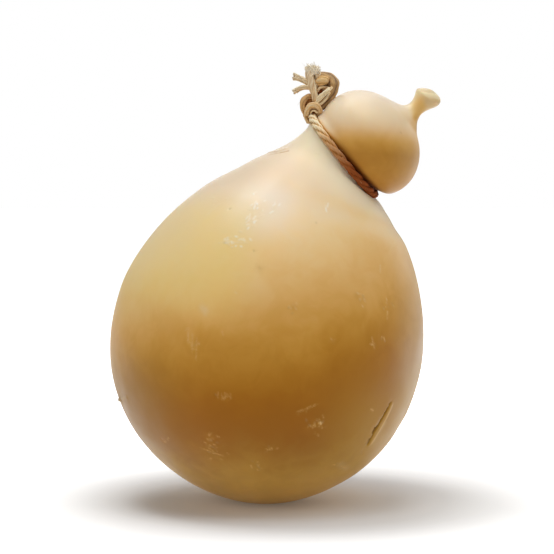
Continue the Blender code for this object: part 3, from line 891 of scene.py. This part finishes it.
def rindFinish():
    look = rindLook
    finish = Finish("waxyRind", Roughness=0.32, Specular_IOR_Level=0.5, Sheen_Weight=0.08,
                    Sheen_Roughness=0.33, Subsurface_Weight=0.15, Subsurface_Scale=5 * mm)
    finish.shader.inputs["Sheen Tint"].default_value = (1.0, 0.93, 0.82, 1)
    finish.shader.inputs["Specular Tint"].default_value = (1.0, 0.60, 0.22, 1)
    finish.shader.inputs["Coat Roughness"].default_value = 0.22
    finish.shader.inputs["Subsurface Radius"].default_value = (1.0, 0.5, 0.2)
    # painted light and shade on the upward side, broken up by soft clouds
    clouds = finish.sum(finish.patches(22, 0.3, 0.7, detail=4), 0.08, "MULTIPLY")
    wisps = finish.sum(finish.patches(90, 0.3, 0.7, detail=5, warp=1.2), 0.04, "MULTIPLY")
    facing = finish.sum(finish.attribute("facingUp"), finish.sum(clouds, wisps))
    paintedShades = addNode(finish.tree, "ShaderNodeValToRGB")
    paintedShades.color_ramp.interpolation = "B_SPLINE"
    stops = paintedShades.color_ramp.elements
    for number, (up, colour) in enumerate(look["paintedShades"]):
        stop = stops[number] if number < 2 else stops.new(1)
        stop.position = (up + 1) / 2
        stop.color = (*colour, 1)
    finish.wire(finish.ranged(facing, -0.94, 1.06, 0, 1), paintedShades.inputs["Fac"])
    colour = paintedShades.outputs["Color"]
    uneven = finish.ranged(finish.patches(28, 0.3, 0.7, detail=4), 0, 1, 0.7, 1.15)
    colour = finish.tint(finish.sum(finish.attribute("thin"), uneven, "MULTIPLY"), colour, look["thin"], 0.42)
    colour = finish.tint(finish.attribute("strawy"), colour, look["strawy"], 0.33)
    # painted shading on the lower left side
    colour = finish.tint(finish.attribute("olive"), colour, look["olive"], 0.25)
    colour = finish.tint(finish.attribute("onHead"), colour, look["cream"], 0.05)
    colour = finish.tint(finish.attribute("paintedHighlight"), colour, look["paintedHighlight"], 0.36)
    # painted shading on the upper left of the shoulder
    colour = finish.tint(finish.attribute("golden"), colour, look["golden"], 0.45)
    colour = finish.tint(finish.attribute("paintedThroatLight"), colour, look["paintedThroatLight"], 0.75)
    # painted light on the nipple, and its painted glow
    colour = finish.tint(finish.attribute("nipple"), colour, look["nipple"], 0.8)
    colour = finish.tint(finish.attribute("paintedGlow"), colour, look["paintedGlow"], 0.6)
    colour = finish.tint(finish.attribute("paintedTopShade"), colour, look["paintedTopShade"], 0.6)
    colour = finish.tint(finish.attribute("bruises"), colour, look["amber"], 0.4)
    colour = finish.tint(finish.attribute("smudges"), colour, look["pale"], 0.5)
    # painted light: scrapes and flecks are painted paler where the surface faces up, as lit copies of one colour
    upper = finish.ranged(finish.attribute("facingUp"), -0.1, 0.5, 0, 1)
    flake = finish.tint(upper, look["flake"], look["pale"])
    fleck = finish.tint(upper, look["lowFleck"], look["fleck"])
    broken = finish.ranged(finish.patches(900, 0.35, 0.65), 0, 1, 0.25, 1)
    colour = finish.tint(finish.sum(finish.attribute("scrapes"), broken, "MULTIPLY"), colour, flake, 0.85)
    colour = finish.tint(finish.attribute("chip"), colour, look["pale"], 0.5)
    colour = finish.tint(finish.attribute("lip"), colour, look["flake"], 0.45)
    colour = finish.tint(finish.attribute("pits"), colour, look["speck"], 0.35)
    colour = finish.tint(finish.attribute("flecksAndGlints"), colour, fleck, 0.75)
    # painted shade: the crease groove is darkened towards amber
    colour = finish.tint(finish.attribute("crease"), colour, look["amber"], 0.5)
    # painted shade: the gash's slit is painted near black
    cut = finish.ranged(finish.attribute("gash"), 0.05, 0.5, 0, 1)
    colour = finish.tint(cut, colour, look["slitShade"], 0.9)
    colour = finish.tint(finish.attribute("paintedCreaseShadow"), colour, look["paintedCreaseShadow"], 0.85)
    finish.wire(colour, finish.shader.inputs["Base Color"])
    # the upper side is polished, in patches
    upward = finish.sum(finish.attribute("facingUp"), finish.attribute("paintedThroatLight"), "SUBTRACT")
    polished = finish.ranged(upward, 0.40, 0.75, 0, 0.25)
    worn = finish.ranged(finish.patches(70, 0.3, 0.7, detail=4), 0, 1, 0.5, 1)
    finish.wire(finish.sum(polished, worn, "MULTIPLY"), finish.shader.inputs["Coat Weight"])
    waxy = finish.patches(60, 0.3, 0.7)
    scuffed = finish.sum(finish.attribute("scrapes"), finish.attribute("smudges"))
    roughness = finish.sum(finish.ranged(waxy, 0, 1, 0.38, 0.47), finish.sum(scuffed, 0.2, "MULTIPLY"))
    finish.wire(roughness, finish.shader.inputs["Roughness"])
    relief = finish.grain(260, 1100, 0.35)
    finish.wire(finish.bump(relief, 0.12 * mm, 0.35), finish.shader.inputs["Normal"])
    return finish.material


rind.data.materials.append(rindFinish())
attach(rind, "root")
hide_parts("cheese")
print("rind finished")

# The twine. Each route is the centre line of one stretch: x, y, z and radius in mm.
twine = {
    "radius": 1.95,
    "ring": {"plies": 3, "turns": 7.5, "start": 172},  # turns of its lay, degrees where it begins
    "step": 0.45,                             # mm between the sections of a strand
    # the fills are dark strands in the knot's gaps, carrying painted shade there
    "knot": {
        "arch": {"plies": 1, "lay": 40, "toneAndShade": 0.56, "soakedAndShaded": 0.08, "route": (
            (19.8, -2.4, 185.2, 1.1), (20.0, -3.4, 187.5, 1.2), (21.2, -4.1, 189.4, 1.3),
            (23.3, -4.2, 190.0, 1.3), (25.3, -3.7, 189.0, 1.3), (26.3, -2.4, 187.0, 1.3),
            (25.0, 0.6, 185.6, 1.3), (22.2, 2.2, 186.0, 1.3), (20.0, 1.0, 185.4, 1.3),
            (19.5, -1.4, 185.0, 1.3))},
        "underArch": {"plies": 2, "lay": 30, "toneAndShade": 0.66, "soakedAndShaded": 0.0, "route": (
            (21.0, -2.6, 185.8, 0.9), (22.0, -3.3, 187.4, 1.0), (23.7, -3.4, 187.7, 1.05),
            (25.0, -2.7, 186.4, 1.0))},
        "archFill": {"plies": 1, "lay": 16, "toneAndShade": 0.3, "soakedAndShaded": 0.75, "route": (
            (20.0, 0.6, 188.6, 1.5), (22.6, 0.2, 188.6, 1.9), (25.6, 0.6, 189.4, 1.9),
            (27.4, 1.2, 191.2, 1.8))},
        "archBack": {"plies": 1, "lay": 16, "toneAndShade": 0.3, "soakedAndShaded": 0.75, "route": (
            (20.6, 1.0, 186.2, 1.4), (23.2, 0.8, 186.6, 1.7), (26.0, 1.0, 187.6, 1.6))},
        "sideTurn": {"plies": 1, "lay": 60, "toneAndShade": 0.42, "soakedAndShaded": 0.22, "route": (
            (23.4, 0.4, 193.4, 1.3), (21.2, -0.6, 194.1, 1.35), (18.9, -1.4, 192.8, 1.4),
            (17.9, -1.6, 190.3, 1.4), (18.4, -1.2, 187.6, 1.35), (19.8, -0.6, 185.4, 1.3))},
        "sideFill": {"plies": 1, "lay": 20, "toneAndShade": 0.4, "soakedAndShaded": 0.55, "route": (
            (20.2, 0.8, 187.4, 1.5), (20.4, 0.6, 190.0, 1.7), (21.6, 0.6, 192.6, 1.5))},
        "underTail": {"plies": 3, "lay": 14, "toneAndShade": 0.34, "soakedAndShaded": 0.1, "route": (
            (20.4, 0.2, 187.0, 1.6), (20.3, -0.6, 184.9, 1.8), (20.6, -0.8, 182.9, 1.8),
            (21.1, -0.6, 181.5, 1.4))},
        "loop": {"plies": 1, "lay": 95, "toneAndShade": 0.25, "soakedAndShaded": 0.02, "route": (
            (22.6, 1.0, 202.3, 1.6), (25.2, 1.2, 203.2, 1.9), (28.8, 0.8, 203.4, 2.3),
            (31.7, 0.4, 202.4, 2.4), (32.9, 0.2, 200.0, 2.4), (32.7, 0.6, 197.0, 2.3),
            (31.8, 1.0, 194.6, 2.1), (30.0, 1.2, 192.2, 2.0), (27.8, 1.2, 189.8, 1.9),
            (25.4, 0.8, 188.0, 1.7))},
        "lump": {"plies": 1, "lay": 70, "toneAndShade": 0.60, "soakedAndShaded": 0.0, "route": (
            (23.6, 0.4, 199.8, 1.3), (25.4, -0.8, 200.8, 1.9), (27.2, -1.7, 201.5, 2.3),
            (28.8, -2.0, 201.5, 2.2), (29.9, -1.9, 201.1, 1.5))},
        "innerTurn": {"plies": 2, "lay": 20, "toneAndShade": 0.5, "soakedAndShaded": 0.1, "route": (
            (24.6, -1.0, 196.6, 1.2), (26.0, -1.6, 198.2, 1.25), (28.0, -1.0, 198.2, 1.2),
            (29.6, 0.4, 197.6, 1.2))},
        "backTurn": {"plies": 2, "lay": 26, "toneAndShade": 0.36, "soakedAndShaded": 0.35, "route": (
            (23.8, 2.8, 202.0, 1.8), (27.4, 3.0, 201.0, 2.2), (29.8, 3.2, 198.4, 2.2),
            (29.0, 3.2, 194.8, 2.1), (26.4, 3.0, 190.8, 1.8))},
        "middleFill": {"plies": 3, "lay": 18, "toneAndShade": 0.3, "soakedAndShaded": 1.0, "route": (
            (24.6, 0.8, 190.6, 1.6), (25.4, 0.8, 193.6, 1.9), (26.2, 1.0, 196.6, 1.8),
            (25.4, 1.0, 199.4, 1.5))},
        "lowerTurn": {"plies": 2, "lay": 30, "toneAndShade": 0.72, "soakedAndShaded": 0.0, "route": (
            (24.4, -2.0, 190.2, 1.3), (26.8, -2.2, 191.2, 1.5), (29.2, -1.6, 193.2, 1.5),
            (31.0, -0.6, 195.4, 1.3))},
    },
    "ends": {  # loose bundles: count of strands, their spread, and how far the tips fan out
        "stem": {"count": 9, "size": 0.62, "flat": 0.8, "turns": 0.4, "fan": 1.3,
             "toneAndShade": 0.63, "dusty": 0.8, "route": (
            (24.2, -0.6, 189.6, 1.0), (24.1, -2.2, 192.2, 1.3), (23.4, -2.4, 195.8, 1.5),
            (22.3, -2.3, 199.4, 1.7), (21.4, -2.0, 203.0, 1.8), (21.6, -1.4, 206.2, 2.1))},
        "stemBranch": {"count": 4, "size": 0.6, "flat": 1.0, "turns": 0.4, "fan": 1.6,
             "toneAndShade": 0.74, "dusty": 1.0, "route": (
            (23.6, -1.4, 196.6, 0.8), (24.2, -1.4, 198.6, 0.85), (24.8, -1.2, 200.6, 0.9),
            (25.2, -0.8, 203.2, 1.0), (24.8, -0.6, 206.0, 1.5))},
        "cutStub": {"count": 7, "size": 0.55, "flat": 0.9, "turns": 0.5, "fan": 1.05,
             "toneAndShade": 0.92, "dusty": 0.1, "route": (
            (24.4, -2.6, 190.8, 1.1), (26.2, -3.8, 193.4, 1.2), (28.8, -4.2, 196.0, 1.2),
            (31.9, -4.2, 198.6, 1.25))},
        "upperStrip": {"count": 7, "size": 0.48, "flat": 0.4, "turns": 0.15, "fan": 1.3,
             "toneAndShade": 0.66, "dusty": 1.0, "route": (
            (23.2, -1.2, 198.6, 1.0), (20.7, -1.4, 200.6, 1.4), (18.0, -1.0, 202.0, 1.5),
            (15.5, -0.8, 203.1, 1.55), (13.3, -0.6, 203.6, 1.9))},
        "lowerStrip": {"count": 7, "size": 0.48, "flat": 0.4, "turns": 0.15, "fan": 1.3,
             "toneAndShade": 0.66, "dusty": 1.0, "route": (
            (23.2, -1.0, 197.2, 1.0), (20.4, -1.6, 198.3, 1.2), (18.0, -1.5, 198.3, 1.25),
            (15.4, -1.2, 197.2, 1.25), (13.1, -1.0, 195.4, 1.5))},
    },
    "tuft": {"count": 260, "root": (22.7, -1.2, 204.8), "spread": 2.6, "length": (3.0, 4.6),
             "size": (0.18, 0.42), "flare": 0.55},
    "hairs": {"ringTwine": 160, "knotTwine": 110, "looseEnds": 70},
    "hairLength": (1.0, 3.2),
    "hairSize": 0.045,
}


def curveThrough(route):
    # points about one step apart on a smooth curve through the route's own points
    stops = np.array(route, float)
    padded = np.vstack((2 * stops[0] - stops[1], stops, 2 * stops[-1] - stops[-2]))
    pieces = []
    for before, start, end, after in zip(padded, padded[1:], padded[2:], padded[3:]):
        steps = max(2, ceil(np.linalg.norm((end - start)[:3]) / twine["step"]))
        t = np.linspace(0, 1, steps, endpoint=False)[:, None]
        bend = (end - before) * t + (2 * before - 5 * start + 4 * end - after) * t ** 2
        pieces.append(start + (bend + (3 * start - before - 3 * end + after) * t ** 3) / 2)
    pieces.append(stops[-1:])
    return np.vstack(pieces)


def framesAlong(points):
    # two directions square to the curve, carried along it without twist
    tangents = np.gradient(points, axis=0)
    tangents /= np.linalg.norm(tangents, axis=1)[:, None]
    normal = np.cross(tangents[0], (0.31, 0.92, 0.23))
    normals = []
    for tangent in tangents:
        normal = normal - tangent * (normal @ tangent)
        normal = normal / np.linalg.norm(normal)
        normals.append(normal)
    normals = np.array(normals)
    return tangents, normals, np.cross(tangents, normals)


def lengthAlong(points):
    steps = np.linalg.norm(np.diff(points, axis=0), axis=1)
    return np.concatenate(([0], np.cumsum(steps)))


class Strands:
    # gathers tubes of fibre into the mesh of one piece
    def __init__(self, name, seed):
        self.name = name
        self.draw = random.Random(seed)
        self.places, self.faces, self.strandUv = [], [], []
        self.painted = {"toneAndShade": [], "weathered": [], "soakedAndShaded": []}
        self.count = 0
        self.surface = []                     # places and outward directions where hairs may start

    def addTube(self, centres, radii, sides, toneAndShade=0.5, weathered=0.3, soakedAndShaded=0.0, ridges=0, depth=0.0,
                twist=0.0, outward=None):
        centres = np.asarray(centres, float)
        count = len(centres)
        tangents, normals, sideways = framesAlong(centres)
        along = lengthAlong(centres)
        turn = np.linspace(0, 2 * pi, sides, endpoint=False)[None, :] + (along * twist)[:, None]
        ridge = np.abs(np.sin(ridges / 2 * (turn - (along * twist)[:, None]))) ** 0.6 if ridges else 1.0
        size = np.asarray(radii, float)[:, None] * (1 - depth + depth * ridge)
        size = size * (1 + 0.05 * np.sin(along * 1.7 + self.draw.uniform(0, 6)))[:, None]
        way = np.cos(turn)[..., None] * normals[:, None] + np.sin(turn)[..., None] * sideways[:, None]
        places = centres[:, None] + way * size[..., None]
        toneAlong = np.broadcast_to(np.asarray(toneAndShade, float), count)
        shade = np.repeat(toneAlong[:, None], sides, axis=1)
        # painted shade: darker in the grooves between ridges and on the sides that face the rope's middle
        if ridges:
            shade += 0.35 * (ridge - 0.6)
        if outward is not None:
            shade += 0.45 * (np.einsum("ijk,ik->ij", way, outward) - 0.2)
        ends = np.vstack((centres[:1] - tangents[:1] * size[0].mean() * 0.4,
                          centres[-1:] + tangents[-1:] * size[-1].mean() * 0.4))
        first = self.count
        self.places.append(np.vstack((places.reshape(-1, 3), ends)))
        self.painted["toneAndShade"].append(np.concatenate((shade.ravel(), toneAlong[[0, -1]])))
        for name, value in (("weathered", weathered), ("soakedAndShaded", soakedAndShaded)):
            spread = np.repeat(np.broadcast_to(value, count), sides)
            self.painted[name].append(np.concatenate((spread, spread[[0, -1]])))
        around = 2 * pi * float(np.mean(radii)) / sides
        ring = lambda row, side: first + row * sides + side % sides
        for row in range(count - 1):
            for side in range(sides):
                self.faces.append((ring(row, side), ring(row, side + 1),
                                   ring(row + 1, side + 1), ring(row + 1, side)))
                left, right = side * around, (side + 1) * around
                self.strandUv += ((left, along[row]), (right, along[row]),
                                  (right, along[row + 1]), (left, along[row + 1]))
        start, end = first + count * sides, first + count * sides + 1
        for side in range(sides):
            self.faces.append((ring(0, side + 1), ring(0, side), start))
            self.faces.append((ring(count - 1, side), ring(count - 1, side + 1), end))
            left, right = side * around, (side + 1) * around
            self.strandUv += ((right, 0), (left, 0), (left, -0.4))
            self.strandUv += ((left, along[-1]), (right, along[-1]), (left, along[-1] + 0.4))
        self.count += count * sides + 2
        self.surface.append(np.hstack((places.reshape(-1, 3), way.reshape(-1, 3),
                                       np.repeat(tangents, sides, axis=0))))

    def addRope(self, points, plies, lay, soakedAndShaded=0.0, phase=0.0, toneAndShade=0.42, weathered=0.1):
        # so many twisted plies, each of a few yarns, wound the S way
        centres, radii = points[:, :3], points[:, 3]
        tangents, normals, sideways = framesAlong(centres)
        along = lengthAlong(centres)
        for ply in range(plies):
            turn = phase - 2 * pi * along / lay + 2 * pi * ply / plies
            away = np.cos(turn)[:, None] * normals + np.sin(turn)[:, None] * sideways
            wobble = 1 + 0.07 * np.sin(along * self.draw.uniform(0.5, 0.9) + self.draw.uniform(0, 6))
            share = 0.5 if plies > 1 else 0.0
            size = radii * (1 - share + 0.02) * (2 - wobble)
            ridges, depth, sides = (5, 0.14, 20) if plies > 1 else (4, 0.07, 32)
            self.addTube(centres + away * (radii * share * wobble)[:, None], size, sides,
                         toneAndShade=toneAndShade + self.draw.uniform(-0.08, 0.08),
                         weathered=weathered * self.draw.uniform(0, 2),
                         soakedAndShaded=soakedAndShaded, ridges=ridges, depth=depth, twist=2 * pi / lay,
                         outward=away if plies > 1 else None)

    def addBundle(self, points, end):
        # strands side by side that spread towards their cut tips
        centres, radii = points[:, :3], points[:, 3]
        tangents, normals, sideways = framesAlong(centres)
        along = lengthAlong(centres)
        share = along / along[-1]
        for strand in range(end["count"]):
            reach = sqrt((strand + 0.5) / end["count"])
            angle = strand * 2.4 + 2 * pi * end["turns"] * share
            open_ = 1 + (end["fan"] - 1) * share ** 3
            across = np.cos(angle) * reach * radii * open_ * (1 - end["size"] * 0.5)
            deep = np.sin(angle) * reach * radii * end["flat"] * open_ * (1 - end["size"] * 0.5)
            line = centres + normals * across[:, None] + sideways * deep[:, None]
            stop = len(line) - self.draw.randrange(0, 5)
            size = radii * end["size"] * self.draw.uniform(0.75, 1.15) * (1 - 0.35 * share ** 4)
            self.addTube(line[:stop], size[:stop], 12, toneAndShade=end["toneAndShade"] + self.draw.uniform(-0.16, 0.16),
                         weathered=end["dusty"] * (0.3 + 0.5 * share[:stop] ** 2), ridges=3, depth=0.16,
                         twist=self.draw.uniform(0.2, 0.5),
                         outward=(line - centres)[:stop] / (radii * 1.2)[:stop, None])

    def addFibre(self, start, direction, length, size, curl, sides=3, toneAndShade=0.6, weathered=0.5):
        steps = 8
        bend = np.array([self.draw.gauss(0, 1) for axis in range(3)]) * curl
        share = np.linspace(0, 1, steps)[:, None]
        line = np.asarray(start) + (np.asarray(direction) * share + bend * share ** 2) * length
        self.addTube(line, size * (1 - 0.75 * share[:, 0] ** 2), sides, toneAndShade=toneAndShade, weathered=weathered)

    def addHairs(self, count):
        surface = np.vstack(self.surface)
        low, high = twine["hairLength"]
        for hair in range(count):
            place, way, tangent = surface[self.draw.randrange(len(surface))].reshape(3, 3)
            direction = tangent * self.draw.choice((-1, 1)) + way * self.draw.uniform(0.15, 0.8)
            length = self.draw.uniform(low, high) * self.draw.uniform(0.4, 1)
            self.addFibre(place - way * 0.1, direction, length, twine["hairSize"], 0.22, toneAndShade=0.75,
                          weathered=0.35)

    def build(self):
        mesh = bpy.data.meshes.new(self.name)
        mesh.from_pydata((np.vstack(self.places) * mm).tolist(), [], self.faces)
        mesh.uv_layers.new(name="strandUv")
        mesh.uv_layers["strandUv"].uv.foreach_set("vector", np.array(self.strandUv, np.float32).ravel())
        mesh.shade_smooth()
        piece = bpy.data.objects.new(self.name, mesh)
        bpy.context.scene.collection.objects.link(piece)
        for name, values in self.painted.items():
            paint(piece, name, np.concatenate(values))
        activate(piece)
        bpy.ops.object.mode_set(mode="EDIT")
        bpy.ops.mesh.select_all(action="SELECT")
        bpy.ops.mesh.normals_make_consistent(inside=False)
        bpy.ops.object.mode_set(mode="OBJECT")
        return piece


def ringTwine():
    # the tight turn round the neck, whose ends meet under the knot
    strands = Strands("ringTwine", 3)
    centre = np.array((cheese["neck"][0], 0, cheese["neck"][1]))
    slope, back, neckAxis = ringFrame()
    ringRadius = cheese["ringRadius"]
    steps = ceil(2 * pi * ringRadius / twine["step"])
    turn = radians(twine["ring"]["start"]) + np.linspace(0, 2 * pi, steps + 1)
    points = centre + ringRadius * (np.cos(turn)[:, None] * slope + np.sin(turn)[:, None] * back)
    points = np.column_stack((points, np.full(len(points), twine["radius"])))
    # partly soaked, partly painted shade: darker and redder towards the crease under the head
    shaded = np.clip((179 - points[:, 2]) / 19, 0, 1) ** 0.7   # towards the crease under the head
    lay = 2 * pi * ringRadius / twine["ring"]["turns"]
    strands.addRope(points, twine["ring"]["plies"], lay, soakedAndShaded=shaded, toneAndShade=0.62 - 0.06 * shaded,
                    weathered=0.1 * (1 - shaded))
    strands.addHairs(twine["hairs"]["ringTwine"])
    return strands.build()


def knotTwine():
    strands = Strands("knotTwine", 5)
    for stretch in twine["knot"].values():
        strands.addRope(curveThrough(stretch["route"]), stretch["plies"], stretch["lay"],
                        soakedAndShaded=stretch["soakedAndShaded"], phase=strands.draw.uniform(0, 6), toneAndShade=stretch["toneAndShade"])
    strands.addHairs(twine["hairs"]["knotTwine"])
    return strands.build()


def looseEnds():
    strands = Strands("looseEnds", 8)
    for end in twine["ends"].values():
        strands.addBundle(curveThrough(end["route"]), end)
    tuft = twine["tuft"]
    for fibre in range(tuft["count"]):
        angle, reach = strands.draw.uniform(0, 2 * pi), sqrt(strands.draw.random()) * tuft["spread"]
        across = np.array((cos(angle), 0.7 * sin(angle), 0)) * reach
        direction = np.array((0, 0, 1)) + across * tuft["flare"] / tuft["spread"]
        domed = 1 - 0.45 * (reach / tuft["spread"]) ** 2
        strands.addFibre(np.array(tuft["root"]) + across, direction,
                         strands.draw.uniform(*tuft["length"]) * domed,
                         strands.draw.uniform(*tuft["size"]), 0.16, sides=6,
                         toneAndShade=strands.draw.uniform(0.7, 1), weathered=strands.draw.uniform(1, 1.3))
    strands.addHairs(twine["hairs"]["looseEnds"])
    return strands.build()


twineLook = {
    "groove": (0.12, 0.042, 0.010),
    "straw": (0.84, 0.52, 0.20),
    "pale": (1.0, 0.86, 0.58),
    "weathered": (1.0, 0.95, 0.84),
    "amber": (0.74, 0.33, 0.055),
    "soakedAndShaded": (0.32, 0.070, 0.008),
}


def twineFinish():
    look = twineLook
    finish = Finish("dryTwine", Roughness=0.88, Specular_IOR_Level=0.2, Sheen_Weight=0.03,
                    Sheen_Roughness=0.5)
    along = addNode(finish.tree, "ShaderNodeUVMap", uv_map="strandUv").outputs["UV"]
    stretched = addNode(finish.tree, "ShaderNodeMapping")
    stretched.inputs["Scale"].default_value = (7.0, 0.45, 1.0)
    finish.wire(along, stretched.inputs["Vector"])
    streaks = finish.patches(1.0, 0.25, 0.75, detail=4, warp=0.2, vector=stretched.outputs["Vector"])
    toneAndShade = finish.sum(finish.attribute("toneAndShade"), finish.ranged(streaks, 0, 1, -0.16, 0.16))
    # from the painted groove shade through straw to pale
    ramp = addNode(finish.tree, "ShaderNodeValToRGB")
    stops = ramp.color_ramp.elements
    stops[0].color, stops[1].color = (*look["groove"], 1), (*look["pale"], 1)
    stops[0].position, stops[1].position = 0.08, 0.95
    stops.new(0.55).color = (*look["straw"], 1)
    finish.wire(toneAndShade, ramp.inputs["Fac"])
    colour = ramp.outputs["Color"]
    dust = finish.ranged(finish.patches(250, 0.3, 0.7), 0, 1, 0.5, 1)
    dust = finish.sum(finish.attribute("weathered"), dust, "MULTIPLY")
    colour = finish.tint(dust, colour, look["weathered"], 0.7)
    # partly soaking, partly painted shade with painted amber light bounced from the rind
    soakedAndShaded = finish.attribute("soakedAndShaded")
    colour = finish.tint(finish.ranged(soakedAndShaded, 0, 0.45, 0, 1), colour, look["amber"], 0.6)
    colour = finish.tint(finish.ranged(soakedAndShaded, 0.25, 1, 0, 1), colour, look["soakedAndShaded"], 0.97)
    finish.wire(colour, finish.shader.inputs["Base Color"])
    finish.wire(finish.bump(streaks, 0.06 * mm, 0.6), finish.shader.inputs["Normal"])
    return finish.material


dryTwine = twineFinish()
for makePiece in (ringTwine, knotTwine, looseEnds):
    strandPiece = makePiece()
    strandPiece.data.materials.append(dryTwine)
    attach(strandPiece, "root")
    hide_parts("twine")
    print(strandPiece.name, "laid:", len(strandPiece.data.polygons), "faces")
